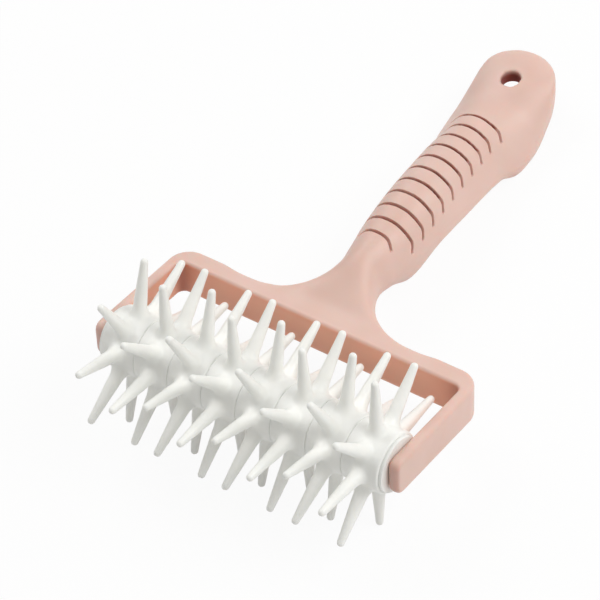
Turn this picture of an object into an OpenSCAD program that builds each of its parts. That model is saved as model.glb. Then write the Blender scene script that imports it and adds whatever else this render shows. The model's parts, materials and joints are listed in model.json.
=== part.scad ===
// Dough docker: a spiked roller that turns in the fork of a one-piece handle.
// It lies as it is put down on a table: two rows of spikes and the end of the handle touch it.
// The axle runs along X, the handle points to +Y, and the table is at Z = 0.

/* [Roller] */
// Number of star wheels side by side, which share the room between the arms
wheel_count = 8; // [7:1:9]
// Number of spikes round one wheel
spike_count = 8; // [7:1:9]
// Distance from the axle to the very end of a spike
spike_reach = 31.6; // [29:0.1:33]
// Radius of the ball that ends a spike
spike_tip_r = 1.3; // [1:0.05:1.6]
// Radius of a spike just above its flared root
spike_stem_r = 2.3; // [2:0.05:2.6]
// Radius of the flared root where it meets the hub
spike_root_r = 4.3; // [3.2:0.1:4.6]
// Height of the flare above the hub
spike_flare_h = 4.6; // [3:0.1:6]
// Radius of a wheel's hub
hub_r = 10.8; // [9.5:0.1:11.5]
// Rounding of the hub's two rims
hub_rim_r = 0.7; // [0.3:0.05:1.2]

/* [Axle] */
// Size of the hexagonal axle across its flats
axle_flats = 9; // [7:0.1:10]
// Diameter of the round journal at each end of the axle
journal_d = 6; // [4.5:0.1:7]
// How far a journal reaches into its arm
journal_reach = 2.3; // [1.5:0.1:2.6]
// Radial play of a journal in its socket
journal_play = 0.08; // [0.03:0.01:0.1]
// Play between the axle's flats and a wheel's bore, on each side
flat_play = 0.05; // [0.02:0.01:0.1]
// Outer diameter of a thrust washer
washer_d = 19.6; // [16:0.1:21]
// Thickness of a thrust washer
washer_t = 1.2; // [0.8:0.1:2]
// End play between a thrust washer and its arm
end_play = 0.25; // [0.15:0.05:0.4]

/* [Fork] */
// Width of the fork over its two arms
fork_w = 122; // [108:0.5:140]
// Height of the arms and the crossbar
fork_h = 14; // [12:0.1:18]
// Thickness of an arm
arm_t = 4.1; // [3.8:0.1:6]
// Thickness of the crossbar
crossbar_t = 7.3; // [6:0.1:10]
// Distance from the axle to the crossbar's front face
crossbar_y = 35.25; // [34:0.05:40]
// Distance from the axle to the front end of an arm
arm_end = 6.8; // [6.3:0.1:12]
// Radius of the fork's outer corners in plan
corner_r = 8; // [6:0.1:10]
// Radius of the fork's inner corners in plan
inner_corner_r = 2.5; // [1.5:0.1:4]
// Rounding of the fork's long edges
fork_edge_r = 1.1; // [0.5:0.1:1.6]
// Rounding of an arm's front end, seen from the side
arm_nose_r = 3.5; // [2:0.1:5]
// Play round the bottom of a blind socket, past the end of its journal
socket_end_play = 0.2; // [0.1:0.05:0.4]

/* [Handle] */
// Angle at which the grip rises from the fork
grip_rise = 6.2; // [4:0.1:8]
// Height of the grip's axis above the fork's middle, at the crossbar
grip_lift = 5; // [4:0.1:6]
// Length of the handle from the middle of the crossbar to its end
grip_len = 132.6; // [128:0.1:140]

/* [Hollow under the end] */
// Distance from the handle's end to the middle of the hollow
hollow_at = 15.6; // [13.6:0.1:20.6]
// Length of the hollow along the handle
hollow_l = 20; // [14:0.5:20]
// Width of the hollow
hollow_w = 19; // [12:0.5:20]
// Depth of the hollow
hollow_depth = 14.3; // [4:0.1:14.5]

/* [Grooves] */
// Number of thumb grooves
groove_count = 11; // [7:1:12]
// Distance between two grooves
groove_pitch = 6.28; // [5.5:0.01:6.6]
// Distance from the handle's end to the last groove, the one nearest it
last_groove = 36.1; // [32.6:0.1:40.6]
// Depth of a groove
groove_depth = 0.9; // [0.4:0.05:1.2]
// Width of a groove
groove_w = 1.5; // [1:0.1:2]
// How far down from the crown the last groove runs on each side
groove_drop = 7.2; // [4:0.1:9]
// How much further down each groove runs than its neighbour nearer the end
groove_drop_step = 0.35; // [0:0.05:0.4]

/* [Hanging hole] */
// Diameter of the hole
hole_d = 7.2; // [5:0.1:9]
// Distance from the handle's end to the hole
hole_at = 15.6; // [12.6:0.1:20.6]
// Lean of the hole from the grip's own square, so that it stands square in the raised end
hole_lean = 4; // [0:1:15]

/* [Hidden] */
wheel_names = [for (i = [1 : wheel_count]) str("star_wheel_", i)];
pink = [0.87, 0.72, 0.67];
white = [0.95, 0.95, 0.93];

// The end keeps its own length and the neck keeps its own, so the grooved middle takes up whatever
// the handle's length leaves. At a stretch of 1 the middle is as long as its stations are drawn.
end_l = 38.6;
end_from = grip_len - end_l;
neck_l = 28;
middle_drawn = 66;
stretch = (end_from - neck_l) / middle_drawn;
function in_middle(along) = neck_l + along * stretch;

// Stations of the grip, each with its distance from the middle of the crossbar, half width,
// height of the crown, depth of the underside, height of the widest line,
// roundness of the crown, straightness of its flanks, and squareness of the underside
stations = [
    [-1, 38, 1, 12, -4, 8, 8, 8],
    [3, 32, 1.5, 12, -3, 8, 8, 8],
    [5, 23.5, 2.2, 11.6, -1.5, 6, 6, 6],
    [8, 17, 3.8, 10.6, 0, 4, 4, 5],
    [11, 13.6, 5.4, 9.4, 0, 3, 3, 4],
    [14, 11.3, 7, 8, 0, 2.5, 2.2, 4],
    [20, 8.6, 10, 6, 0, 2.2, 1.6, 4],
    [neck_l, 9, 11.5, 7, 0, 2.3, 1.5, 3.5],
    [in_middle(9), 10.9, 12.3, 11.2, 0, 2.3, 1.5, 3],
    [in_middle(25), 13.1, 14.7, 4.4, 0, 2.3, 1.4, 3],
    [in_middle(40), 14.1, 15.6, 2.6, 0, 2.2, 1.25, 3],
    [in_middle(55), 14.6, 15.4, 3.3, 0, 2.15, 1.15, 3],
    [in_middle(60), 14.9, 15, 4.6, 0, 2.1, 1, 3],
    [end_from, 16.8, 14.2, 7, -0.5, 2, 0.95, 3],
    [end_from + 6, 17.4, 13.5, 7, -0.5, 2, 1.1, 3.2],
    [end_from + 14, 17, 14.2, 6.4, 0.5, 2.1, 1.5, 3.4],
    [end_from + 22, 15.8, 16.2, 3.5, 8, 2.2, 2, 3.4],
    [end_from + 30, 15.6, 17.2, 2, 13, 2.2, 2, 3.4],
    [end_from + 38, 15.5, 17.8, 0, 14.5, 2.2, 2, 3.4]
];
last = len(stations) - 1;
// Where the end begins to close, and how square it is in plan
close_l = 16.6;
close_from = grip_len - close_l;
close_power = 2.15;

// Places along the handle that are set from its end
hole_s = grip_len - hole_at;
hollow_s = grip_len - hollow_at;
last_groove_s = grip_len - last_groove;
// Points round a ring of the grip
ring_points = 48;

// Steps along the grip: in the neck, between the last groove and the end, and as the end closes
neck_step = 2;
plain_step = 3;
close_steps = 9;

// How far a cutter runs past the face that it opens, and its length where it goes right through
past = 1;
through = 60;

inner_w = fork_w - 2 * arm_t;
roller_l = inner_w - 2 * (washer_t + end_play);
wheel_pitch = roller_l / wheel_count;
spike_step = 360 / spike_count;
tip_centre = spike_reach - spike_tip_r;

// Identical wheels, each keyed one flat of the axle further round, so their spikes alternate
stagger = abs(60 - spike_step);
// At rest the lowest spikes of odd and even wheels stand this far to each side of straight down
rest_clock = (spike_step - stagger) / 2;
function clock(i) = -90 + rest_clock + (i % 2) * stagger;
tip_angles = [for (i = [0, 1], k = [0 : spike_count - 1]) clock(i) + k * spike_step];
axle_z = spike_tip_r + tip_centre * max([for (a = tip_angles) -sin(a)]);
front_reach = spike_tip_r + tip_centre * max([for (a = tip_angles) -cos(a)]);
socket_depth = journal_reach + socket_end_play;
socket_d = journal_d + 2 * journal_play;

// A smooth value between stations, with the slope at a station set by its neighbours
function slope(i, k) =
    i == 0 || i == last
        ? let (a = max(i - 1, 0), b = min(i + 1, last))
          (stations[b][k] - stations[a][k]) / (stations[b][0] - stations[a][0])
        : let (
              h0 = stations[i][0] - stations[i - 1][0],
              h1 = stations[i + 1][0] - stations[i][0],
              d0 = (stations[i][k] - stations[i - 1][k]) / h0,
              d1 = (stations[i + 1][k] - stations[i][k]) / h1
          )
          (d0 * h1 + d1 * h0) / (h0 + h1);
function seat(s, i = 0) = i >= last - 1 || s < stations[i + 1][0] ? i : seat(s, i + 1);
function station(s, k) =
    let (
        i = seat(s),
        h = stations[i + 1][0] - stations[i][0],
        u = (s - stations[i][0]) / h
    )
    (2 * u * u * u - 3 * u * u + 1) * stations[i][k]
    + (u * u * u - 2 * u * u + u) * h * slope(i, k)
    + (3 * u * u - 2 * u * u * u) * stations[i + 1][k]
    + (u * u * u - u * u) * h * slope(i + 1, k);

// A superellipse's reach along one axis
function bent(v, power) = sign(v) * pow(abs(v), 2 / power);
function closing(s) =
    s <= close_from
        ? 1
        : pow(max(0, 1 - pow((s - close_from) / (grip_len - close_from), close_power)), 1 / close_power);

// A groove's section: a steep wall at its far side and a ramp up to the near side
groove_far = 0.3;
groove_near = 0.75;
function groove_cut(offset) =
    offset >= groove_w * groove_far || offset <= -groove_w * groove_near
        ? 0
        : offset > 0
            ? 1 - offset / (groove_w * groove_far)
            : 1 + offset / (groove_w * groove_near);
function groove_number(s) = max(0, min(groove_count - 1, round((last_groove_s - s) / groove_pitch)));
// The groove nearest the fork is a short one
short_groove = 0.45;
function drop_of(n) = (groove_drop + n * groove_drop_step) * (n == groove_count - 1 ? short_groove : 1);
// The cut fades out over the last stretch on the way down
groove_fade = 1.2;
function groove_fall(s, down) =
    let (n = groove_number(s))
    groove_cut(s - last_groove_s + n * groove_pitch) * max(0, min(1, (drop_of(n) - down) / groove_fade));

// The raised end is hollow underneath, so that the hanging hole runs through a thin roof only
function hollow(s, x) =
    let (left = 1 - pow(abs(s - hollow_s) * 2 / hollow_l, 3) - pow(abs(x) * 2 / hollow_w, 3))
    left <= 0 ? 0 : hollow_depth * sqrt(left);

// One point of the grip's skin in the grip's own frame, at distance s and angle a
function skin(s, a) =
    let (
        t = min(s, stations[last][0]),
        k = closing(s),
        widest = station(t, 4),
        up = sin(a) >= 0,
        reach = up ? station(t, 2) - widest : station(t, 3) + widest,
        x = station(t, 1) * k * bent(cos(a), station(t, up ? 5 : 7)),
        z = reach * k * bent(sin(a), station(t, up ? 6 : 7)),
        r = norm([x, z]),
        cut = 1 - (up ? groove_depth * groove_fall(s, reach * k - z) / max(r, 1) : 0)
    )
    [x * cut, s, widest + z * cut + (up ? 0 : hollow(s, x))];

crossbar_mid = crossbar_y + crossbar_t / 2;
function on_fork(p) = [
    p.x,
    crossbar_mid + p.y * cos(grip_rise) - p.z * sin(grip_rise),
    grip_lift + p.y * sin(grip_rise) + p.z * cos(grip_rise)
];

// Distances of the grip's rings: plain ones, four at each groove, and the closing end
first_groove = last_groove_s - (groove_count - 1) * groove_pitch;
neck_end = first_groove - groove_w;
grip_end = last_groove_s + groove_w;
neck_start = stations[0][0];
neck_count = floor(neck_end / neck_step);
neck_rings = [for (i = [0 : neck_count]) neck_start + i * (neck_end - neck_start) / neck_count];
// Each groove has a ring at its near edge, two at its floor and one at its far edge, and there is one
// on the land that follows it
floor_half = 0.02;
land = 1.4;
groove_rings = [
    for (i = [0 : groove_count - 1], o = [-groove_near, -floor_half, floor_half, groove_far, land])
        if (i < groove_count - 1 || o < land) first_groove + i * groove_pitch + o * groove_w
];
end_span = close_from - grip_end;
end_count = ceil(end_span / plain_step);
end_rings = [for (i = [0 : end_count - 1]) grip_end + i * end_span / end_count];
close_rings = [
    for (i = [0 : close_steps - 1]) close_from + (grip_len - close_from) * sin(90 * i / close_steps)
];
rings = concat(neck_rings, groove_rings, end_rings, close_rings);

grip_skin = [for (s = rings) [for (j = [0 : ring_points - 1]) on_fork(skin(s, 360 * j / ring_points))]];
grip_tip = on_fork([0, grip_len, skin(grip_len, 0).z]);

// The fork's tilt at rest: the first point of the grip to reach the table stops it
function touch_tilt(p) = atan2(p.z, p.y) + asin(axle_z / norm([p.y, p.z]));
half_way = crossbar_mid + grip_len / 2;
rest_tilt = min([for (ring = grip_skin, p = ring) if (p.y > half_way) touch_tilt(p)]);
function rest_y(p) = p.y * cos(rest_tilt) + p.z * sin(rest_tilt);
back_reach = max([for (ring = grip_skin, p = ring) rest_y(p)]);
centre_y = (back_reach - front_reach) / 2;

// Everything that rides on the roller: its axle lies along X at rest height
module on_axle() {
    translate([0, -centre_y, axle_z]) children();
}

// Everything moulded with the handle, in the fork's own frame
module on_rest_fork() {
    on_axle() rotate([-rest_tilt, 0, 0]) children();
}

module along_x(from) {
    translate([from, 0, 0]) rotate([0, 90, 0]) children();
}

// A closed skin through a list of rings, which end flat or, with a tip, in a fan to one point
module lofted(ring_list, tip = undef) {
    n = len(ring_list[0]);
    m = len(ring_list);
    sides = [
        for (i = [0 : m - 2], j = [0 : n - 1])
            let (a = i * n + j, b = i * n + (j + 1) % n, c = b + n, d = a + n)
            each [[a, b, c], [a, c, d]]
    ];
    first_cap = [[for (j = [n - 1 : -1 : 0]) j]];
    last_cap = is_undef(tip)
        ? [[for (j = [0 : n - 1]) (m - 1) * n + j]]
        : [for (j = [0 : n - 1]) [(m - 1) * n + j, (m - 1) * n + (j + 1) % n, m * n]];
    points = concat([for (ring = ring_list, p = ring) p], is_undef(tip) ? [] : [tip]);
    polyhedron(points, concat(first_cap, sides, last_cap), convexity = 8);
}

// The grip and neck as one skin that starts inside the crossbar
module grip() {
    lofted(grip_skin, grip_tip);
}

// The fork's plan from one arm's end to the other: an outer point, an inner point, and how much of
// the arm's rounded nose lies behind them, from 0 at its tip to 1 past it
corner_steps = 8;
nose_steps = [0, 0.03, 0.1, 0.23, 0.43, 0.69, 1];
arm_half = [
    for (d = nose_steps)
        let (y = -arm_end + d * arm_nose_r)
        [d, [fork_w / 2, y], [inner_w / 2, y]],
    for (i = [0 : corner_steps])
        let (a = 90 * i / corner_steps, way = [cos(a), sin(a)])
        [
            1,
            [fork_w / 2 - corner_r, crossbar_y + crossbar_t - corner_r] + corner_r * way,
            [inner_w / 2 - inner_corner_r, crossbar_y - inner_corner_r] + inner_corner_r * way
        ]
];
fork_path = concat(
    arm_half,
    [for (i = [len(arm_half) - 1 : -1 : 0])
        [arm_half[i][0], [-arm_half[i][1].x, arm_half[i][1].y], [-arm_half[i][2].x, arm_half[i][2].y]]]
);
edge_steps = 3;

// How much a rounding of radius r takes off a face at a distance from the end
function rounding(r, away) = away >= r ? 0 : r - sqrt(pow(r, 2) - pow(r - away, 2));

// One rounded section of the fork, from its outer point o to its inner point q
least_flat = 0.1;
function fork_ring(d, o, q) =
    let (
        w = norm(o - q) - 2 * rounding(fork_edge_r, arm_nose_r * d),
        h = fork_h - 2 * rounding(arm_nose_r, arm_nose_r * d),
        r = min(fork_edge_r, h / 2 - least_flat, w / 2 - least_flat),
        way = (o - q) / norm(o - q),
        mid = (o + q) / 2
    )
    [
        for (c = [[1, 1, 0], [-1, 1, 90], [-1, -1, 180], [1, -1, 270]], i = [0 : edge_steps])
            let (
                a = c[2] + 90 * i / edge_steps,
                u = c[0] * (w / 2 - r) + r * cos(a),
                v = c[1] * (h / 2 - r) + r * sin(a),
                p = mid + u * way
            )
            [p.x, p.y, v]
    ];

module fork() {
    lofted([for (p = fork_path) fork_ring(p[0], p[1], p[2])]);
}

module handle_frame() {
    hole_spot = on_fork([0, hole_s, skin(hole_s, 90).z]);
    color(pink)
        on_rest_fork()
            difference() {
                union() {
                    fork();
                    grip();
                }
                for (side = [-1, 1])
                    translate([side * inner_w / 2, 0, 0])
                        rotate([0, 90, 0])
                            cylinder(h = 2 * socket_depth, d = socket_d, center = true, $fn = 64);
                translate(hole_spot)
                    rotate([grip_rise + hole_lean, 0, 0])
                        cylinder(h = through, d = hole_d, center = true, $fn = 64);
            }
}

// Outline of the axle's hexagon, or of a bore that takes it with some play
module hexagon(flats) {
    circle(d = flats / cos(30), $fn = 6);
}

module axle() {
    core_l = roller_l + 2 * washer_t;
    axle_l = inner_w + 2 * journal_reach;
    color(white)
        on_axle()
            union() {
                along_x(-core_l / 2) linear_extrude(core_l) hexagon(axle_flats);
                along_x(-axle_l / 2) cylinder(h = axle_l, d = journal_d, $fn = 64);
            }
}

module thrust_washer(side) {
    color(white)
        on_axle()
            along_x(side > 0 ? roller_l / 2 : -roller_l / 2 - washer_t)
                linear_extrude(washer_t)
                    difference() {
                        circle(d = washer_d, $fn = 96);
                        hexagon(axle_flats + 2 * flat_play);
                    }
}

module left_thrust_washer() {
    thrust_washer(-1);
}

module right_thrust_washer() {
    thrust_washer(1);
}

// How deep a spike's root and the foot of its flare lie in the hub
root_sink = 1.6;
flare_sink = 0.6;

// Half of a spike's outline, turned about its own length
module spike() {
    root = hub_r - root_sink;
    stem = hub_r - flare_sink + spike_flare_h;
    flare = [
        for (i = [0 : 5])
            let (a = 90 * i / 5)
            [
                spike_root_r - (spike_root_r - spike_stem_r) * sin(a),
                stem - spike_flare_h * cos(a)
            ]
    ];
    rotate_extrude($fn = 48)
        difference() {
            union() {
                polygon(concat(
                    [[0, root], [spike_root_r, root]],
                    flare,
                    [[spike_tip_r, tip_centre], [0, tip_centre]]
                ));
                translate([0, tip_centre]) circle(r = spike_tip_r, $fn = 48);
            }
            translate([-2 * spike_tip_r, 0]) square([2 * spike_tip_r, spike_reach + past]);
        }
}

module star_wheel(i) {
    left_face = -roller_l / 2 + i * wheel_pitch;
    color(white)
        on_axle()
            difference() {
                union() {
                    along_x(left_face)
                        rotate_extrude($fn = 96)
                            polygon([
                                [0, 0],
                                [hub_r - hub_rim_r, 0],
                                [hub_r, hub_rim_r],
                                [hub_r, wheel_pitch - hub_rim_r],
                                [hub_r - hub_rim_r, wheel_pitch],
                                [0, wheel_pitch]
                            ]);
                    for (k = [0 : spike_count - 1])
                        translate([left_face + wheel_pitch / 2, 0, 0])
                            rotate([clock(i) + k * spike_step, 0, 0])
                                spike();
                }
                along_x(left_face - past)
                    linear_extrude(wheel_pitch + 2 * past)
                        hexagon(axle_flats + 2 * flat_play);
            }
}

handle_frame();
axle();
left_thrust_washer();
right_thrust_washer();
for (i = [0 : wheel_count - 1])
    star_wheel(i);
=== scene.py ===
"""Dough docker: a white spiked roller in the fork of a one-piece rose-pink handle.

The pink moulding is built in its own frame, in millimetres: the axle's middle is the origin, X
runs along the axle, +Y goes to the handle and +Z stands square on the fork. to_row then lays it
on the table.
"""
import json
import math

import bmesh
import bpy
import numpy as np
from mathutils import Matrix, Vector


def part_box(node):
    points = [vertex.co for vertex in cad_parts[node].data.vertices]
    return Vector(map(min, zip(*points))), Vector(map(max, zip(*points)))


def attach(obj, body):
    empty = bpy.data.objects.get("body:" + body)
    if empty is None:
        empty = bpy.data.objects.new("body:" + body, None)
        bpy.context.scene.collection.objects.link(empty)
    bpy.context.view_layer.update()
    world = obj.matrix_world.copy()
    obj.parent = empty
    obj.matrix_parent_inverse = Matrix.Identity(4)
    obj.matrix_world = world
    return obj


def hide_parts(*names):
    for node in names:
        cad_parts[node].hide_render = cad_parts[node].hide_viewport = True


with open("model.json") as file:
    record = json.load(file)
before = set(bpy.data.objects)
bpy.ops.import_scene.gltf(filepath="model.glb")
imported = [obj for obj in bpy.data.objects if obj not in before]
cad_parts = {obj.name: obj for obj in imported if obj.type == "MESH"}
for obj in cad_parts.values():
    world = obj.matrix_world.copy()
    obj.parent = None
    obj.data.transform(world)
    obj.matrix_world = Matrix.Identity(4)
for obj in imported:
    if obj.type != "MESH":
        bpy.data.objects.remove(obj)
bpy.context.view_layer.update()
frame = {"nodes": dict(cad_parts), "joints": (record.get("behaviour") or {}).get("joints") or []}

MM = 0.001

# Each smoothing round pulls a point towards its neighbours and then pushes it back a little more
PULL, PUSH = 0.5, -0.52
# A point of a turned outline that is nearer to the axis than this lies on it
ON_AXIS = 1e-6

# All sizes from here to the wheels are in millimetres and degrees. How far the part leans at rest:
REST_TILT = 15.9782

# The fork: each arm ends in a rounded nose, past the axle by ARM_END
FORK_W, FORK_H, ARM_T = 122.0, 14.0, 4.1
CROSSBAR_Y, CROSSBAR_T, ARM_END = 35.25, 7.3, 6.8
CROSSBAR_MID = CROSSBAR_Y + CROSSBAR_T / 2
CORNER_R, INNER_CORNER_R, FORK_EDGE_R, ARM_NOSE_R = 8.0, 2.5, 1.5, 3.5
INNER_W = FORK_W - 2 * ARM_T
SOCKET_R, SOCKET_DEPTH, SOCKET_LEAD, SOCKET_SIDES = 3.08, 2.5, 3.0, 64
NOSE_SHARES = (0, 0.01, 0.04, 0.1, 0.18, 0.29, 0.42, 0.57, 0.74, 1)
CORNER_STEPS = 19

# The grip rises from the crossbar's middle and closes over its last stretch
GRIP_RISE, GRIP_LIFT, GRIP_LEN = 6.2, 5.0, 132.6
CLOSE_FROM, CLOSE_POWER = 116.0, 2.12
RISE = math.radians(GRIP_RISE)
GRIP_SIDES, GRIP_STEP, END_RINGS = 144, 1.0, 28

# The hanging hole, and the cored pocket under the end that leaves a roof round it
HOLE_R, HOLE_AT, HOLE_LEAN, HOLE_SIDES = 3.6, 117.0, 4.0, 96
POCKET_L, POCKET_W, POCKET_POWER, POCKET_SHIFT = 27.4, 24.6, 2.3, -0.5
ROOF_T, POCKET_ROUND = 5.6, 2.0
POCKET_SIDES, POCKET_STEPS = 96, 8
THROUGH = 30.0

# The thumb grooves: one steep wall, a narrow floor, a ramp on the other side and hooked ends
GROOVE_COUNT, GROOVE_PITCH, LAST_GROOVE = 11, 6.28, 96.5
GROOVE_DROP, GROOVE_DROP_STEP, SHORT_GROOVE = 6.5, 0.33, 0.44
GROOVE_DEPTH, GROOVE_WALL, GROOVE_FLOOR, GROOVE_RAMP = 1.8, 0.2, 0.35, 0.6
GROOVE_FADE = 1.0
HOOK_LENGTH, HOOK_SHIFT, HOOK_POWER = 4.2, 2.0, 1.6

# Round each groove the faces are made finer, and evened out before and after the cut
FINE_BAND, FINEST_BAND, BAND_MARGIN = 1.5, 0.8, 0.3
FINE_PAST, EVEN_PAST = 0.8, 1.2
EVEN_ROUNDS, EVEN_AFTER = 3, 0.6

# The pink skin, and where the neck's foot is evened out: each limit comes with the length over
# which the evening sets in
SKIN_VOXEL, SKIN_ROUNDS, NECK_ROUNDS = 0.62, 8, 45
NECK_FROM, NECK_TO = (36, 3), (62, 10)
NECK_SIDE, NECK_LOW = (44, 8), (-3, 5)
SHARP_ANGLE = 55

# Painted shade, deeper pink to dark brown, on the hole's wall, the faces round the roller, their
# corners and the arms' noses
HOLE_MARGIN, HOLE_RIM, HOLE_SHADE_FADE, HOLE_SHADE_END = 0.5, 0.3, 2.5, 20
INNER_MARGIN, INNER_RIM, INNER_RIM_FADE = 0.6, 0.3, 1.2
INNER_SHADE, LOW_SHADE, LOW_SHADE_FROM, LOW_SHADE_FADE = 0.03, 0.12, 4, 8
CORNER_SHADE, CORNER_SHADE_REACH = 0.85, 4
NOSE_SHADE, NOSE_SHADE_FROM, NOSE_SHADE_FADE = 0.2, 1.6, 1.4

# The white wheels: a spike's root starts inside the hub, and its flare a little higher
HUB_R, HUB_RIM_R = 10.8, 0.5
SPIKE_COUNT, SPIKE_REACH, SPIKE_TIP_R = 8, 31.6, 1.3
SPIKE_STEM_R, SPIKE_ROOT_R, SPIKE_FLARE_H = 2.3, 4.6, 5.2
SPIKE_ROOT_SINK, SPIKE_FLARE_SINK = 1.6, 0.6
SPIKE_SIDES, FLARE_STEPS, TIP_STEPS = 40, 12, 9
HUB_SIDES, RIM_STEPS = 128, 7
BORE_FLATS, BORE_SIDES = 9.1, 6
FIRST_CLOCK, STAGGER = -75.0, 15.0

# The white skin, and the stretch round the hub's surface where the roots are evened out
WHEEL_VOXEL, WHEEL_ROUNDS, ROOT_ROUNDS = 0.36, 6, 12
ROOT_BELOW, ROOT_FADE_IN, ROOT_ABOVE, ROOT_FADE_OUT = 2.5, 2, 6, 3
WHEEL_SIDE, WHEEL_SIDE_FADE = 0.6, 0.8

# The axle and the washers keep the solid's shape, with softened edges
WELD_WITHIN, SOFT_EDGE, SOFT_EDGE_ANGLE = 0.01, 0.2, 40

axle_place = Vector(frame["joints"][0]["pos_m"])
to_row = (
    Matrix.Translation(axle_place)
    @ Matrix.Rotation(math.radians(-REST_TILT), 4, "X")
    @ Matrix.Scale(MM, 4)
)

# Stations of the grip: the distance from the crossbar's middle, then the values named here
HALF_WIDTH, CROWN, UNDERSIDE, WIDEST, CROWN_ROUND, FLANK_STRAIGHT, UNDER_SQUARE = range(1, 8)
STATIONS = np.array([
    [-1, 38, 1, 12, -4, 8, 8, 8],
    [3, 32, 1.5, 12, -3, 8, 8, 8],
    [5, 23.5, 2.2, 11.6, -1.5, 6, 6, 6],
    [8, 17, 3.8, 10.6, 0, 4, 4, 5],
    [11, 13.6, 5.4, 9.4, 0, 3, 3, 4],
    [14, 11.3, 7, 8, 0.4, 2.5, 2.2, 4],
    [20, 8.6, 10.2, 5.8, 0.9, 1.8, 1.7, 4],
    [28, 9.3, 11.8, 6.8, 1.1, 1.8, 1.6, 3.5],
    [37, 11.2, 12.6, 11.5, 0.8, 2.1, 1.5, 3],
    [53, 13.1, 14.7, 4.4, 0, 2.3, 1.4, 3],
    [68, 14.1, 15.6, 2.6, 0, 2.2, 1.25, 3],
    [83, 14.6, 15.4, 3.3, 0, 2.15, 1.15, 3],
    [88, 14.9, 15, 4.6, 0, 2.1, 1, 3],
    [94, 16.9, 14.7, 7.5, -1, 2, 0.95, 3],
    [100, 17.4, 13.8, 7.2, -0.3, 2, 1.1, 3.2],
    [108, 17, 13.7, 6.4, 1.6, 2.1, 1.5, 3.4],
    [116, 16, 16.2, 3.5, 6.2, 2.2, 2, 3.4],
    [124, 15.5, 17.2, 2, 13.4, 2.2, 2, 3.4],
    [132, 15.5, 18.2, 0, 15, 2.2, 2, 3.4],
])


def mesh_object(name, points, faces):
    """A new object in the scene whose mesh has these points and faces."""
    mesh = bpy.data.meshes.new(name)
    mesh.from_pydata([tuple(p) for p in points], [], [tuple(f) for f in faces])
    mesh.validate()
    obj = bpy.data.objects.new(name, mesh)
    bpy.context.scene.collection.objects.link(obj)
    return obj


def lofted(name, rings, tip=None):
    """A closed skin through rings of points, with flat ends or a fan to a tip."""
    rings = np.asarray(rings, float)
    count, sides = rings.shape[:2]
    points = rings.reshape(-1, 3).tolist()
    faces = []
    for i in range(count - 1):
        low, high = i * sides, (i + 1) * sides
        faces += [
            (low + j, low + (j + 1) % sides, high + (j + 1) % sides, high + j)
            for j in range(sides)
        ]
    last, end = (count - 1) * sides, count * sides
    faces.append(tuple(range(sides - 1, -1, -1)))
    if tip is None:
        faces.append(tuple(range(last, end)))
    else:
        points.append(list(tip))
        faces += [(last + j, last + (j + 1) % sides, end) for j in range(sides)]
    return mesh_object(name, points, faces)


def face_outwards(obj):
    """Turns every face of a closed mesh to the outside."""
    bm = bmesh.new()
    bm.from_mesh(obj.data)
    bmesh.ops.recalc_face_normals(bm, faces=bm.faces)
    bm.to_mesh(obj.data)
    bm.free()


def drop(obj):
    """Takes a helper object out of the scene."""
    mesh = obj.data
    bpy.data.objects.remove(obj)
    bpy.data.meshes.remove(mesh)


def settle(obj):
    """Turns the object's modifiers into its mesh."""
    bpy.context.view_layer.update()
    shown = obj.evaluated_get(bpy.context.evaluated_depsgraph_get())
    made = bpy.data.meshes.new_from_object(shown)
    old = obj.data
    obj.modifiers.clear()
    obj.data = made
    made.name = obj.name
    bpy.data.meshes.remove(old)


def cut(obj, cutter, operation="DIFFERENCE"):
    """Takes the cutter out of the object, or joins it on."""
    boolean = obj.modifiers.new("cut", "BOOLEAN")
    boolean.operation = operation
    boolean.object = cutter
    boolean.solver = "MANIFOLD"
    settle(obj)
    drop(cutter)


def fuse(obj, voxel):
    """Makes one even skin of everything in the object."""
    remesh = obj.modifiers.new("fuse", "REMESH")
    remesh.mode = "VOXEL"
    remesh.voxel_size = voxel
    settle(obj)


def read_points(mesh):
    """The mesh's points as rows of x, y and z."""
    co = np.empty(len(mesh.vertices) * 3)
    mesh.vertices.foreach_get("co", co)
    return co.reshape(-1, 3)


def write_points(mesh, points):
    """Puts the rows of x, y and z back into the mesh."""
    mesh.vertices.foreach_set("co", np.ascontiguousarray(points, np.float32).ravel())
    mesh.update()


def smooth_points(mesh, rounds, weight=None, shrink=False):
    """Evens out the skin, with a push back after each pull unless it may shrink."""
    points = read_points(mesh)
    edges = np.empty(len(mesh.edges) * 2, np.int64)
    mesh.edges.foreach_get("vertices", edges)
    a, b = edges.reshape(-1, 2).T
    count = len(points)
    around = np.bincount(a, minlength=count) + np.bincount(b, minlength=count)
    around = np.maximum(around, 1)[:, None]
    share = np.ones((count, 1)) if weight is None else np.asarray(weight, float).reshape(-1, 1)
    for _ in range(rounds):
        for pull in (PULL,) if shrink else (PULL, PUSH):
            middle = np.stack([
                np.bincount(a, points[b, k], count) + np.bincount(b, points[a, k], count)
                for k in range(3)
            ], 1) / around
            points = points + pull * share * (middle - points)
    write_points(mesh, points)


def clip_width(mesh, half):
    """Keeps every point within this distance of the middle along X."""
    points = read_points(mesh)
    points[:, 0] = np.clip(points[:, 0], -half, half)
    write_points(mesh, points)


def smooth_shading(obj):
    """Shades every face smoothly, apart from edges that are marked sharp."""
    obj.data.polygons.foreach_set("use_smooth", [True] * len(obj.data.polygons))


def soft_step(v):
    """0 below 0, 1 above 1 and a soft step between."""
    v = np.clip(v, 0, 1)
    return v * v * (3 - 2 * v)


def above(v, limit, fade):
    """0 up to the limit, and 1 from a fade's length above it."""
    return soft_step((v - limit) / fade)


def below(v, limit, fade):
    """0 down to the limit, and 1 from a fade's length below it."""
    return soft_step((limit - v) / fade)


def round_angles(count):
    """That many angles, evenly spread over one turn."""
    return np.linspace(0, math.tau, count, endpoint=False)


def quarter_turn(count):
    """That many angles from 0 to a right angle, both included."""
    return np.radians(np.linspace(0, 90, count))


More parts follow.
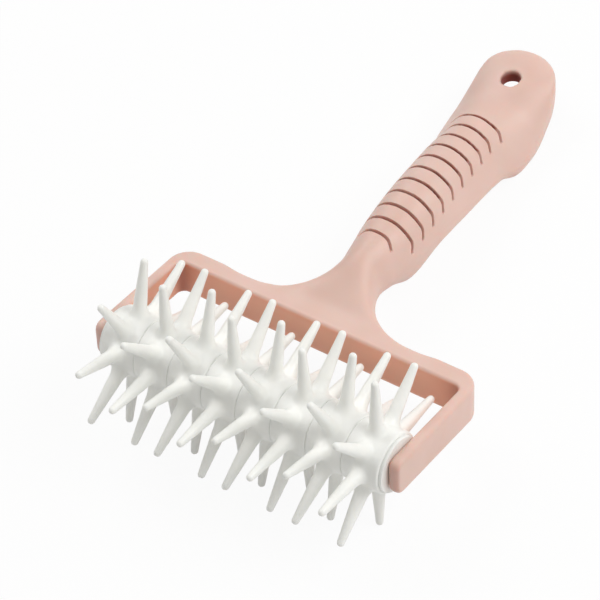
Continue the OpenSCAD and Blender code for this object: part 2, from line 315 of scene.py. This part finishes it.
def cylinder_along(name, radius, start, direction, length, sides):
    """A straight cutter with that many sides."""
    axis = Vector(direction).normalized()
    turn = axis.to_track_quat("Z", "Y").to_matrix()
    rings = [
        [Vector(start) + turn @ Vector((radius * math.cos(t), radius * math.sin(t), h))
         for t in round_angles(sides)]
        for h in (0.0, length)
    ]
    obj = lofted(name, rings)
    face_outwards(obj)
    return obj


def station_slopes(k):
    """How fast column k of the stations changes at each of them."""
    s, v = STATIONS[:, 0], STATIONS[:, k]
    h, d = np.diff(s), np.diff(v) / np.diff(s)
    inner = (d[:-1] * h[1:] + d[1:] * h[:-1]) / (h[:-1] + h[1:])
    return np.concatenate([[d[0]], inner, [d[-1]]])


SLOPES = [station_slopes(k) for k in range(STATIONS.shape[1])]


def station(s, k):
    """Column k at distance s, on a smooth curve through the stations."""
    s = np.minimum(np.asarray(s, float), STATIONS[-1, 0])
    i = np.clip(np.searchsorted(STATIONS[:, 0], s, side="right") - 1, 0, len(STATIONS) - 2)
    h = STATIONS[i + 1, 0] - STATIONS[i, 0]
    u = (s - STATIONS[i, 0]) / h
    return (
        (2 * u**3 - 3 * u**2 + 1) * STATIONS[i, k] + (u**3 - 2 * u**2 + u) * h * SLOPES[k][i]
        + (3 * u**2 - 2 * u**3) * STATIONS[i + 1, k] + (u**3 - u**2) * h * SLOPES[k][i + 1]
    )


def closing(s):
    """How much of the section is left at distance s: 1 at first and 0 at the very end."""
    away = np.clip((np.asarray(s, float) - CLOSE_FROM) / (GRIP_LEN - CLOSE_FROM), 0, 1)
    return (1 - away**CLOSE_POWER) ** (1 / CLOSE_POWER)


def bent(v, power):
    """A sine or cosine bent so that the round that it draws has this power."""
    return np.sign(v) * np.abs(v) ** (2 / power)


def skin(s, turn):
    """Points of the grip's skin in its own frame, at distances s and angles turn."""
    left, widest, up = closing(s), station(s, WIDEST), np.sin(turn) >= 0
    reach = np.where(up, station(s, CROWN) - widest, station(s, UNDERSIDE) + widest)
    under = station(s, UNDER_SQUARE)
    x_power = np.where(up, station(s, CROWN_ROUND), under)
    z_power = np.where(up, station(s, FLANK_STRAIGHT), under)
    x = station(s, HALF_WIDTH) * left * bent(np.cos(turn), x_power)
    z = reach * left * bent(np.sin(turn), z_power)
    return np.stack([x, np.broadcast_to(s, x.shape), widest + z], -1)


def on_fork(p):
    """From the grip's own frame to the fork's."""
    p = np.asarray(p, float)
    y = CROSSBAR_MID + p[..., 1] * math.cos(RISE) - p[..., 2] * math.sin(RISE)
    z = GRIP_LIFT + p[..., 1] * math.sin(RISE) + p[..., 2] * math.cos(RISE)
    return np.stack([p[..., 0], y, z], -1)


def on_grip(p):
    """From the fork's frame to the grip's own."""
    y, z = p[..., 1] - CROSSBAR_MID, p[..., 2] - GRIP_LIFT
    s = y * math.cos(RISE) + z * math.sin(RISE)
    return np.stack([p[..., 0], s, z * math.cos(RISE) - y * math.sin(RISE)], -1)


def grip_body():
    """The grip from inside the crossbar to its rounded end."""
    plain = np.arange(STATIONS[0, 0], CLOSE_FROM, GRIP_STEP)
    closed = np.sin(np.linspace(0, math.pi / 2, END_RINGS, endpoint=False))
    along = np.concatenate([plain, CLOSE_FROM + (GRIP_LEN - CLOSE_FROM) * closed])
    turns = round_angles(GRIP_SIDES)
    rings = [on_fork(skin(np.full(len(turns), s), turns)) for s in along]
    tip = on_fork(skin(np.array(GRIP_LEN), np.array(0.0)))
    return lofted("pink_handle", rings, tip)


def rounding(r, away):
    """How far an edge of radius r has drawn in at this distance from its face."""
    return 0 if away >= r else r - math.sqrt(r**2 - (r - away) ** 2)


def fork_ring(away, outer, inner, steps=6, least_flat=0.1):
    """One rounded section of the fork, away from the arm's end by that much."""
    way = (outer - inner).normalized()
    w = (outer - inner).length - 2 * rounding(FORK_EDGE_R, away)
    h = FORK_H - 2 * rounding(ARM_NOSE_R, away)
    r = min(FORK_EDGE_R, h / 2 - least_flat, w / 2 - least_flat)
    ring = []
    for su, sv, start in ((1, 1, 0), (-1, 1, 90), (-1, -1, 180), (1, -1, 270)):
        for i in range(steps + 1):
            a = math.radians(start + 90 * i / steps)
            p = (outer + inner) / 2 + (su * (w / 2 - r) + r * math.cos(a)) * way
            ring.append((p.x, p.y, sv * (h / 2 - r) + r * math.sin(a)))
    return ring


def fork_body():
    """The crossbar and both arms, as one bent bar with rounded edges."""
    half = []
    for share in NOSE_SHARES:
        y = share * ARM_NOSE_R - ARM_END
        half.append((share * ARM_NOSE_R, Vector((FORK_W / 2, y)), Vector((INNER_W / 2, y))))
    outer = Vector((FORK_W / 2 - CORNER_R, CROSSBAR_Y + CROSSBAR_T - CORNER_R))
    inner = Vector((INNER_W / 2 - INNER_CORNER_R, CROSSBAR_Y - INNER_CORNER_R))
    for a in quarter_turn(CORNER_STEPS):
        way = Vector((math.cos(a), math.sin(a)))
        half.append((ARM_NOSE_R, outer + CORNER_R * way, inner + INNER_CORNER_R * way))
    other = [
        (away, Vector((-outer.x, outer.y)), Vector((-inner.x, inner.y)))
        for away, outer, inner in reversed(half)
    ]
    return lofted("fork", [fork_ring(*section) for section in half + other])


def groove_sight(points):
    """For each point, its distance along the grip from the nearest groove's line, and how far
    down past that groove's end it lies, where less than 0 is beside the groove."""
    grip_points = on_grip(points)
    s, height = grip_points[:, 1], grip_points[:, 2]
    number = np.clip(np.round((LAST_GROOVE - s) / GROOVE_PITCH), 0, GROOVE_COUNT - 1)
    groove_drop = GROOVE_DROP + number * GROOVE_DROP_STEP
    groove_drop = groove_drop * np.where(number == GROOVE_COUNT - 1, SHORT_GROOVE, 1)
    past = station(s, CROWN) - height - groove_drop
    offset = s - LAST_GROOVE + number * GROOVE_PITCH
    offset = offset + HOOK_SHIFT * above(past, -HOOK_LENGTH, HOOK_LENGTH) ** HOOK_POWER
    underneath = height < station(s, WIDEST)
    return offset, np.where(underneath, np.inf, past)


def groove_share(offset, past):
    """1 at the bottom of a groove and 0 outside it."""
    wall = 1 - np.clip(offset / GROOVE_WALL, 0, 1)
    ramp = 1 - np.clip((-offset - GROOVE_FLOOR) / GROOVE_RAMP, 0, 1)
    return np.where(offset > 0, wall, ramp) * below(past, 0, GROOVE_FADE)


def carve_grooves(obj):
    """Finer faces along the thumb grooves, then the grooves themselves."""
    bm = bmesh.new()
    bm.from_mesh(obj.data)
    for reach in (FINE_BAND, FINEST_BAND):
        points = np.array([v.co for v in bm.verts])
        offset, past = groove_sight(points)
        near = (offset > -reach - BAND_MARGIN) & (offset < reach) & (past < FINE_PAST)
        bm.verts.ensure_lookup_table()
        bm.verts.index_update()
        chosen = [e for e in bm.edges if near[e.verts[0].index] and near[e.verts[1].index]]
        bmesh.ops.subdivide_edges(bm, edges=chosen, cuts=1, use_grid_fill=True)
    bmesh.ops.triangulate(bm, faces=[f for f in bm.faces if len(f.verts) > 4])
    bm.to_mesh(obj.data)
    bm.free()
    mesh = obj.data
    offset, past = groove_sight(read_points(mesh))
    band = (np.abs(offset) < FINE_BAND + BAND_MARGIN) & (past < EVEN_PAST)
    smooth_points(mesh, EVEN_ROUNDS, band)
    points = read_points(mesh)
    offset, past = groove_sight(points)
    normals = np.empty(len(points) * 3, np.float32)
    mesh.vertex_normals.foreach_get("vector", normals)
    depth = GROOVE_DEPTH * groove_share(offset, past)
    write_points(mesh, points - depth[:, None] * normals.reshape(-1, 3))
    smooth_points(mesh, 1, band * EVEN_AFTER)


def end_pocket(spot, way):
    """The cutter for the cored underside of the end, which leaves a roof for the hole."""
    across = Vector((1, 0, 0))
    along = across.cross(way)
    turns = round_angles(POCKET_SIDES)
    x = bent(np.cos(turns), POCKET_POWER).tolist()
    y = bent(np.sin(turns), POCKET_POWER).tolist()
    levels = [
        (POCKET_ROUND * (1 - math.sin(a)), ROOF_T + POCKET_ROUND * (1 - math.cos(a)))
        for a in quarter_turn(POCKET_STEPS)
    ]
    levels.append((0, THROUGH))
    rings = [
        [spot - depth * way + u * (POCKET_W / 2 - inset) * across
         + (POCKET_SHIFT + v * (POCKET_L / 2 - inset)) * along for u, v in zip(x, y)]
        for inset, depth in levels
    ]
    pocket = lofted("pocket", rings)
    face_outwards(pocket)
    return pocket


def paint_shade_attributes(mesh, spot, way):
    """Writes painted shade into each point, in the grooves, the hole, on the faces round the
    roller, in their corners and on the arms' noses, and marks the points that face the roller,
    which get a warmer painted shade.
    """
    points = read_points(mesh)
    offset, past = groove_sight(points)
    # Painted shade in the grooves, deepest at their bottoms
    painted_shade = groove_share(offset, past) ** 0.5
    away = points - np.array(spot)
    depth = -(away @ np.array(way))
    from_axis = np.linalg.norm(away + depth[:, None] * np.array(way), axis=1)
    # Painted shade on the hole's wall, from just below its rim
    in_hole = (from_axis < HOLE_R + HOLE_MARGIN) & (depth > HOLE_RIM) & (depth < HOLE_SHADE_END)
    painted_shade = np.maximum(painted_shade, in_hole * above(depth, HOLE_RIM, HOLE_SHADE_FADE))
    x, y, z = np.abs(points[:, 0]), points[:, 1], points[:, 2]
    # The faces round the roller, where a warmer pink is painted as shade
    inner_face_warm_shade = below(x, INNER_W / 2 + INNER_MARGIN, INNER_MARGIN)
    inner_face_warm_shade *= below(y, CROSSBAR_Y + INNER_MARGIN, INNER_MARGIN)
    inner_face_warm_shade *= below(z, FORK_H / 2 - INNER_RIM, INNER_RIM_FADE)
    # Painted shade on the faces round the roller, darker towards their foot
    tone = INNER_SHADE + LOW_SHADE * below(z, LOW_SHADE_FROM, LOW_SHADE_FADE)
    painted_shade = np.maximum(painted_shade, inner_face_warm_shade * tone)
    # Painted shade, darkest in the inner corners between the arms and the crossbar
    to_corner = np.hypot(x - INNER_W / 2, y - CROSSBAR_Y)
    near_corner = np.exp(-to_corner / CORNER_SHADE_REACH)
    painted_shade = np.maximum(painted_shade, CORNER_SHADE * inner_face_warm_shade * near_corner)
    # Painted shade on the arms' noses
    at_nose = below(y, NOSE_SHADE_FROM - ARM_END, NOSE_SHADE_FADE)
    painted_shade = np.maximum(painted_shade, NOSE_SHADE * at_nose)
    for name, value in (("painted_shade", painted_shade), ("inner_face_warm_shade", inner_face_warm_shade)):
        layer = mesh.attributes.new(name, "FLOAT", "POINT")
        layer.data.foreach_set("value", np.ascontiguousarray(value, np.float32))


def even_out_the_handle(mesh):
    """Smooths the skin, most of all where the neck runs into the crossbar without an edge."""
    points = read_points(mesh)
    side, y, z = np.abs(points[:, 0]), points[:, 1], points[:, 2]
    foot = above(y, *NECK_FROM) * below(y, *NECK_TO) * below(side, *NECK_SIDE) * above(z, *NECK_LOW)
    smooth_points(mesh, SKIN_ROUNDS)
    smooth_points(mesh, NECK_ROUNDS, foot, shrink=True)
    clip_width(mesh, FORK_W / 2)


def pink_moulding():
    """The grip, neck and fork in one skin, with the grooves, the pocket and the axle's sockets."""
    handle = grip_body()
    face_outwards(handle)
    # The middle of the hole's upper rim, and the hole's way up
    spot = Vector(on_fork(skin(np.array(HOLE_AT), np.array(math.pi / 2))))
    lean = math.radians(GRIP_RISE + HOLE_LEAN)
    way = Vector((0, -math.sin(lean), math.cos(lean)))
    start = spot - THROUGH * way
    cut(handle, cylinder_along("hole", HOLE_R, start, way, 2 * THROUGH, HOLE_SIDES))
    fork = fork_body()
    face_outwards(fork)
    cut(handle, fork, "UNION")
    fuse(handle, SKIN_VOXEL)
    even_out_the_handle(handle.data)
    carve_grooves(handle)
    cut(handle, end_pocket(spot, way))
    for side in (-1, 1):
        start = (side * (INNER_W / 2 - SOCKET_LEAD), 0, 0)
        length = SOCKET_LEAD + SOCKET_DEPTH
        out = (side, 0, 0)
        cut(handle, cylinder_along("socket", SOCKET_R, start, out, length, SOCKET_SIDES))
    handle.data.set_sharp_from_angle(angle=math.radians(SHARP_ANGLE))
    # Painted shade, stored on the points for the pink material
    paint_shade_attributes(handle.data, spot, way)
    handle.data.transform(to_row)
    return handle


def spike_profile():
    """Half of a spike's outline from the hub outwards, as radius and distance from the axle."""
    root = HUB_R - SPIKE_ROOT_SINK
    stem = HUB_R - SPIKE_FLARE_SINK + SPIKE_FLARE_H
    outline = [(0, root), (SPIKE_ROOT_R, root)]
    for a in quarter_turn(FLARE_STEPS):
        r = SPIKE_ROOT_R - (SPIKE_ROOT_R - SPIKE_STEM_R) * math.sin(a)
        outline.append((r, stem - SPIKE_FLARE_H * math.cos(a)))
    centre = SPIKE_REACH - SPIKE_TIP_R
    for a in quarter_turn(TIP_STEPS):
        outline.append((SPIKE_TIP_R * math.cos(a), centre + SPIKE_TIP_R * math.sin(a)))
    return outline


def revolved(name, profile, sides):
    """A closed solid turned about Z from (radius, height) pairs, whose ends lie on the axis."""
    points, faces, rings = [], [], []
    for r, h in profile:
        if r < ON_AXIS:
            rings.append([len(points)] * sides)
            points.append((0, 0, h))
        else:
            rings.append(list(range(len(points), len(points) + sides)))
            points += [(r * math.cos(t), r * math.sin(t), h) for t in round_angles(sides)]
    for low, high in zip(rings, rings[1:]):
        for j in range(sides):
            k = (j + 1) % sides
            face = list(dict.fromkeys([low[j], low[k], high[k], high[j]]))
            if len(face) > 2:
                faces.append(face)
    obj = mesh_object(name, points, faces)
    face_outwards(obj)
    return obj


def socket_id(tree, name):
    """The identifier of a tree's named input."""
    for item in tree.interface.items_tree:
        if item.item_type == "SOCKET" and item.in_out == "INPUT" and item.name == name:
            return item.identifier
    raise KeyError(name)


def round_the_hub(material):
    """A node tree that repeats its mesh round the X axis."""
    tree = bpy.data.node_groups.new("round_the_hub", "GeometryNodeTree")
    face = tree.interface
    face.new_socket("Geometry", in_out="INPUT", socket_type="NodeSocketGeometry")
    face.new_socket("Count", in_out="INPUT", socket_type="NodeSocketInt")
    face.new_socket("First Angle", in_out="INPUT", socket_type="NodeSocketFloat")
    face.new_socket("Geometry", in_out="OUTPUT", socket_type="NodeSocketGeometry")
    node, link = tree.nodes.new, tree.links.new
    given, result = node("NodeGroupInput"), node("NodeGroupOutput")
    line = node("GeometryNodeMeshLine")
    line.mode = "OFFSET"
    line.inputs["Offset"].default_value = (0, 0, 0)
    place = node("GeometryNodeInstanceOnPoints")
    index, step, angle, euler = (
        node("GeometryNodeInputIndex"), node("ShaderNodeMath"), node("ShaderNodeMath"),
        node("ShaderNodeCombineXYZ"))
    step.operation = "DIVIDE"
    step.inputs[0].default_value = math.tau
    angle.operation = "MULTIPLY_ADD"
    real, finish = node("GeometryNodeRealizeInstances"), node("GeometryNodeSetMaterial")
    finish.inputs["Material"].default_value = material
    link(given.outputs["Count"], line.inputs["Count"])
    link(given.outputs["Count"], step.inputs[1])
    link(index.outputs[0], angle.inputs[0])
    link(step.outputs[0], angle.inputs[1])
    link(given.outputs["First Angle"], angle.inputs[2])
    link(angle.outputs[0], euler.inputs["X"])
    link(line.outputs["Mesh"], place.inputs["Points"])
    link(given.outputs["Geometry"], place.inputs["Instance"])
    link(euler.outputs[0], place.inputs["Rotation"])
    link(place.outputs[0], real.inputs[0])
    link(real.outputs[0], finish.inputs["Geometry"])
    link(finish.outputs[0], result.inputs[0])
    return tree


def hub_profile(half):
    """Half of a hub's outline from one end to the other, as radius and distance along its axis."""
    r = HUB_RIM_R
    rim = [
        (HUB_R - r + r * math.sin(a), -half + r - r * math.cos(a)) for a in quarter_turn(RIM_STEPS)
    ]
    return [(0, -half)] + rim + [(x, -h) for x, h in reversed(rim)] + [(0, half)]


def star_wheel(material, pitch):
    """One wheel about the X axis, in millimetres, with its middle at the origin."""
    wheel = revolved("star", spike_profile(), SPIKE_SIDES)
    tree = round_the_hub(material)
    repeat = wheel.modifiers.new("spikes", "NODES")
    repeat.node_group = tree
    repeat[socket_id(tree, "Count")] = SPIKE_COUNT
    repeat[socket_id(tree, "First Angle")] = 0.0
    settle(wheel)
    half = pitch / 2
    hub = revolved("hub", hub_profile(half), HUB_SIDES)
    hub.data.transform(Matrix.Rotation(math.radians(90), 4, "Y"))
    bm = bmesh.new()
    bm.from_mesh(wheel.data)
    bm.from_mesh(hub.data)
    bm.to_mesh(wheel.data)
    bm.free()
    drop(hub)
    fuse(wheel, WHEEL_VOXEL)
    smooth_points(wheel.data, WHEEL_ROUNDS)
    points = read_points(wheel.data)
    side, away = np.abs(points[:, 0]), np.hypot(points[:, 1], points[:, 2])
    roots = above(away, HUB_R - ROOT_BELOW, ROOT_FADE_IN)
    roots *= below(away, HUB_R + ROOT_ABOVE, ROOT_FADE_OUT)
    roots *= below(side, half - WHEEL_SIDE, WHEEL_SIDE_FADE)
    smooth_points(wheel.data, ROOT_ROUNDS, roots, shrink=True)
    clip_width(wheel.data, half)
    bore_r = BORE_FLATS / 2 / math.cos(math.pi / BORE_SIDES)
    start, across = (-pitch, 0, 0), (1, 0, 0)
    cut(wheel, cylinder_along("bore", bore_r, start, across, 2 * pitch, BORE_SIDES))
    return wheel


# Where a mix of colours takes and gives them, and the middle stretch of a noise
MIX_A, MIX_B, MIX_RESULT = 6, 7, 2
NOISE_LOW, NOISE_HIGH = 0.3, 0.7


def plastic(name, light, dark, patch_mm, roughness, grain_mm, grain_height,
            subsurface, scatter, depth_mm, painted_shades=()):
    """Moulded plastic: a faint mottling of two close colours, uneven sheen and a fine grain.
    The last argument pairs the name of a mesh attribute with the colour of painted shade that it
    brings in."""
    material = bpy.data.materials.new(name)
    material.use_nodes = True
    nodes, link = material.node_tree.nodes, material.node_tree.links.new
    shader = nodes["Principled BSDF"]
    place = nodes.new("ShaderNodeTexCoord")

    def noise(size_mm, detail, rough=0.5):
        """A noise that stays with the piece and has features of about this size."""
        texture = nodes.new("ShaderNodeTexNoise")
        texture.inputs["Scale"].default_value = 1 / (size_mm * MM)
        texture.inputs["Detail"].default_value = detail
        texture.inputs["Roughness"].default_value = rough
        link(place.outputs["Object"], texture.inputs["Vector"])
        return texture

    def spread(source, low, high):
        """The middle stretch of a noise, drawn out between low and high."""
        ramp = nodes.new("ShaderNodeMapRange")
        ramp.inputs["From Min"].default_value = NOISE_LOW
        ramp.inputs["From Max"].default_value = NOISE_HIGH
        ramp.inputs["To Min"].default_value = low
        ramp.inputs["To Max"].default_value = high
        link(source.outputs["Fac"], ramp.inputs["Value"])
        return ramp

    colour = nodes.new("ShaderNodeMix")
    colour.data_type = "RGBA"
    colour.inputs[MIX_A].default_value = (*dark, 1)
    colour.inputs[MIX_B].default_value = (*light, 1)
    link(spread(noise(patch_mm, detail=4), 0, 1).outputs[0], colour.inputs[0])
    # Each attribute mixes in its colour of painted shade
    for attribute, tone in painted_shades:
        where = nodes.new("ShaderNodeAttribute")
        where.attribute_name = attribute
        toned = nodes.new("ShaderNodeMix")
        toned.data_type = "RGBA"
        toned.inputs[MIX_B].default_value = (*tone, 1)
        link(colour.outputs[MIX_RESULT], toned.inputs[MIX_A])
        link(where.outputs["Fac"], toned.inputs[0])
        colour = toned
    link(colour.outputs[MIX_RESULT], shader.inputs["Base Color"])
    sheen = spread(noise(patch_mm / 3, detail=3), *roughness)
    link(sheen.outputs[0], shader.inputs["Roughness"])
    bump = nodes.new("ShaderNodeBump")
    bump.inputs["Strength"].default_value = 0.5
    bump.inputs["Distance"].default_value = grain_height * MM
    link(noise(grain_mm, detail=2, rough=0.6).outputs["Fac"], bump.inputs["Height"])
    link(bump.outputs["Normal"], shader.inputs["Normal"])
    shader.inputs["Subsurface Weight"].default_value = subsurface
    shader.inputs["Subsurface Radius"].default_value = scatter
    shader.inputs["Subsurface Scale"].default_value = depth_mm * MM
    shader.inputs["IOR"].default_value = 1.46
    return material


def linear(r, g, b):
    """A colour written in the usual 0 to 255 steps, for the shaders."""
    parts = (r / 255, g / 255, b / 255)
    return tuple(c / 12.92 if c <= 0.04045 else ((c + 0.055) / 1.055) ** 2.4 for c in parts)


pink_plastic = plastic(
    "rose_moulded_plastic", linear(226, 195, 184), linear(220, 186, 173),
    patch_mm=22, roughness=(0.4, 0.5), grain_mm=0.35, grain_height=0.03,
    subsurface=0.4, scatter=(1.0, 0.3, 0.18), depth_mm=3.5,
    # Painted shade: a warmer pink on the faces round the roller, and a dark brown in the grooves,
    # the hole, the inner corners and on the noses
    painted_shades=(("inner_face_warm_shade", linear(242, 180, 153)), ("painted_shade", linear(142, 46, 22))))
white_plastic = plastic(
    "white_moulded_plastic", linear(247, 247, 243), linear(241, 242, 238),
    patch_mm=9, roughness=(0.34, 0.42), grain_mm=0.3, grain_height=0.02,
    subsurface=0.2, scatter=(1.0, 0.95, 0.85), depth_mm=2.5)


def dress(obj, material, body, slot, *nodes):
    """Gives a finished piece smooth shading, its material and its body, and hides the CAD nodes
    that it stands for. slot is not used.
    """
    smooth_shading(obj)
    obj.data.materials.clear()
    obj.data.materials.append(material)
    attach(obj, body)
    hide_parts(*nodes)


dress(pink_moulding(), pink_plastic, "handle", "pink_plastic", "handle_frame")

first_low, first_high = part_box("star_wheel_1")
pitch = first_high.x - first_low.x
wheel_count = sum(name.startswith("star_wheel_") for name in frame["nodes"])
pattern = star_wheel(white_plastic, pitch / MM)
for i in range(wheel_count):
    wheel = bpy.data.objects.new(f"spiked_wheel_{i + 1}", pattern.data.copy())
    bpy.context.scene.collection.objects.link(wheel)
    low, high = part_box(f"star_wheel_{i + 1}")
    centre = Vector(((low.x + high.x) / 2, axle_place.y, axle_place.z))
    turn = math.radians(FIRST_CLOCK + (i % 2) * STAGGER)
    wheel.data.transform(
        Matrix.Translation(centre) @ Matrix.Rotation(turn, 4, "X") @ Matrix.Scale(MM, 4))
    dress(wheel, white_plastic, "roller", "white_plastic", f"star_wheel_{i + 1}")
drop(pattern)

for name in ("axle", "left_thrust_washer", "right_thrust_washer"):
    node = frame["nodes"][name]
    node.data.materials.clear()
    node.data.materials.append(white_plastic)
    weld = node.modifiers.new("weld", "WELD")
    weld.merge_threshold = WELD_WITHIN * MM
    bevel = node.modifiers.new("soft edges", "BEVEL")
    bevel.width = SOFT_EDGE * MM
    bevel.segments = 2
    bevel.limit_method = "ANGLE"
    bevel.angle_limit = math.radians(SOFT_EDGE_ANGLE)


# The studio, in metres: how white the table and the background look to the camera, how far the
# table lies below z = 0, and how much light comes from all round
TABLE_WHITE, BACKGROUND_WHITE = 0.93, 1.0
TABLE_SIZE, TABLE_CELLS, TABLE_DROP = 3.0, 8, 0.0002
SKY_LEVEL, SKY_COLOUR = 0.42, (1, 0.985, 0.955, 1)
LAMP_AIM, LAMP_SIZE = (0, 0, 0.02), (0.7, 0.6)
WHITE = (1, 1, 1, 1)


def white_for_the_camera(tree, lit_shader, white_shader, share):
    """Mixes white over a lit shader, only for rays that come from the camera, a gloss or a clear
    thing, so that the light in the room stays as it was."""
    nodes, link = tree.nodes, tree.links.new
    rays = nodes.new("ShaderNodeLightPath")
    seen, also, part = (nodes.new("ShaderNodeMath") for _ in range(3))
    seen.operation, also.operation, part.operation = "MAXIMUM", "MAXIMUM", "MULTIPLY"
    link(rays.outputs["Is Camera Ray"], seen.inputs[0])
    link(rays.outputs["Is Glossy Ray"], seen.inputs[1])
    link(seen.outputs[0], also.inputs[0])
    link(rays.outputs["Is Transmission Ray"], also.inputs[1])
    link(also.outputs[0], part.inputs[0])
    part.inputs[1].default_value = share
    mix = nodes.new("ShaderNodeMixShader")
    link(part.outputs[0], mix.inputs[0])
    link(lit_shader, mix.inputs[1])
    link(white_shader, mix.inputs[2])
    return mix.outputs[0]


def floor():
    """A matt white table under everything."""
    bm = bmesh.new()
    bmesh.ops.create_grid(bm, x_segments=TABLE_CELLS, y_segments=TABLE_CELLS, size=TABLE_SIZE)
    mesh = bpy.data.meshes.new("floor")
    bm.to_mesh(mesh)
    bm.free()
    obj = bpy.data.objects.new("floor", mesh)
    bpy.context.scene.collection.objects.link(obj)
    obj.location.z = -TABLE_DROP
    material = bpy.data.materials.new("white_table")
    material.use_nodes = True
    tree = material.node_tree
    shader = tree.nodes["Principled BSDF"]
    shader.inputs["Base Color"].default_value = (0.9, 0.9, 0.9, 1)
    shader.inputs["Roughness"].default_value = 0.9
    shader.inputs["Specular IOR Level"].default_value = 0.1
    glow = tree.nodes.new("ShaderNodeEmission")
    glow.inputs["Color"].default_value = WHITE
    both = white_for_the_camera(tree, shader.outputs[0], glow.outputs[0], TABLE_WHITE)
    tree.links.new(both, tree.nodes["Material Output"].inputs["Surface"])
    mesh.materials.append(material)


def surroundings():
    """A dim warm light from all round, that looks plain white."""
    world = bpy.data.worlds.new("studio")
    bpy.context.scene.world = world
    world.use_nodes = True
    tree = world.node_tree
    dim = tree.nodes["Background"]
    dim.inputs["Color"].default_value = SKY_COLOUR
    dim.inputs["Strength"].default_value = SKY_LEVEL
    bright = tree.nodes.new("ShaderNodeBackground")
    bright.inputs["Color"].default_value = WHITE
    bright.inputs["Strength"].default_value = 1.0
    both = white_for_the_camera(tree, dim.outputs[0], bright.outputs[0], BACKGROUND_WHITE)
    tree.links.new(both, tree.nodes["World Output"].inputs["Surface"])


def soft_lamp(name, place, power):
    """A white panel lamp that points at the object."""
    lamp = bpy.data.lights.new(name, "AREA")
    lamp.shape = "RECTANGLE"
    lamp.size, lamp.size_y = LAMP_SIZE
    lamp.energy = power
    obj = bpy.data.objects.new(name, lamp)
    obj.location = place
    aim = Vector(LAMP_AIM) - Vector(place)
    obj.rotation_euler = aim.to_track_quat("-Z", "Y").to_euler()
    bpy.context.scene.collection.objects.link(obj)


# The camera as the photograph was taken: degrees, millimetres in the moulding's own frame, pixels
CAMERA_AZIMUTH, CAMERA_ELEVATION, CAMERA_ROLL = 37.34, 40.78, -2.45
CAMERA_DISTANCE, CAMERA_TARGET = 939.94, Vector((-15.65, 47.23, 0))
CAMERA_FOCAL_PIXELS, IMAGE_PIXELS, SENSOR_MM = 2789.17, 600, 36.0


def photographers_camera():
    """Puts the scene's camera where the photograph was taken from."""
    az, el, roll = (math.radians(v) for v in (CAMERA_AZIMUTH, CAMERA_ELEVATION, CAMERA_ROLL))
    back = Vector((math.sin(az) * math.cos(el), -math.cos(az) * math.cos(el), math.sin(el)))
    right = Vector((math.cos(az), math.sin(az), 0))
    up = back.cross(right)
    rolled_right = math.cos(roll) * right + math.sin(roll) * up
    rolled_up = -math.sin(roll) * right + math.cos(roll) * up
    lie = Matrix.Rotation(math.radians(-REST_TILT), 3, "X")
    data = bpy.data.cameras.new("camera")
    data.sensor_width = SENSOR_MM
    data.sensor_fit = "HORIZONTAL"
    data.lens = CAMERA_FOCAL_PIXELS / IMAGE_PIXELS * SENSOR_MM
    camera = bpy.data.objects.new("camera", data)
    facing = Matrix((lie @ rolled_right, lie @ rolled_up, lie @ back)).transposed().to_4x4()
    place = to_row @ (CAMERA_TARGET + CAMERA_DISTANCE * back)
    camera.matrix_world = Matrix.Translation(place) @ facing
    bpy.context.scene.collection.objects.link(camera)
    bpy.context.scene.camera = camera


floor()
surroundings()
soft_lamp("right_and_above", (0.75, 0.35, 0.85), 7.3)
soft_lamp("left_and_above", (-0.7, 0.3, 0.9), 4.2)
photographers_camera()
bpy.context.scene.view_settings.view_transform = "Standard"
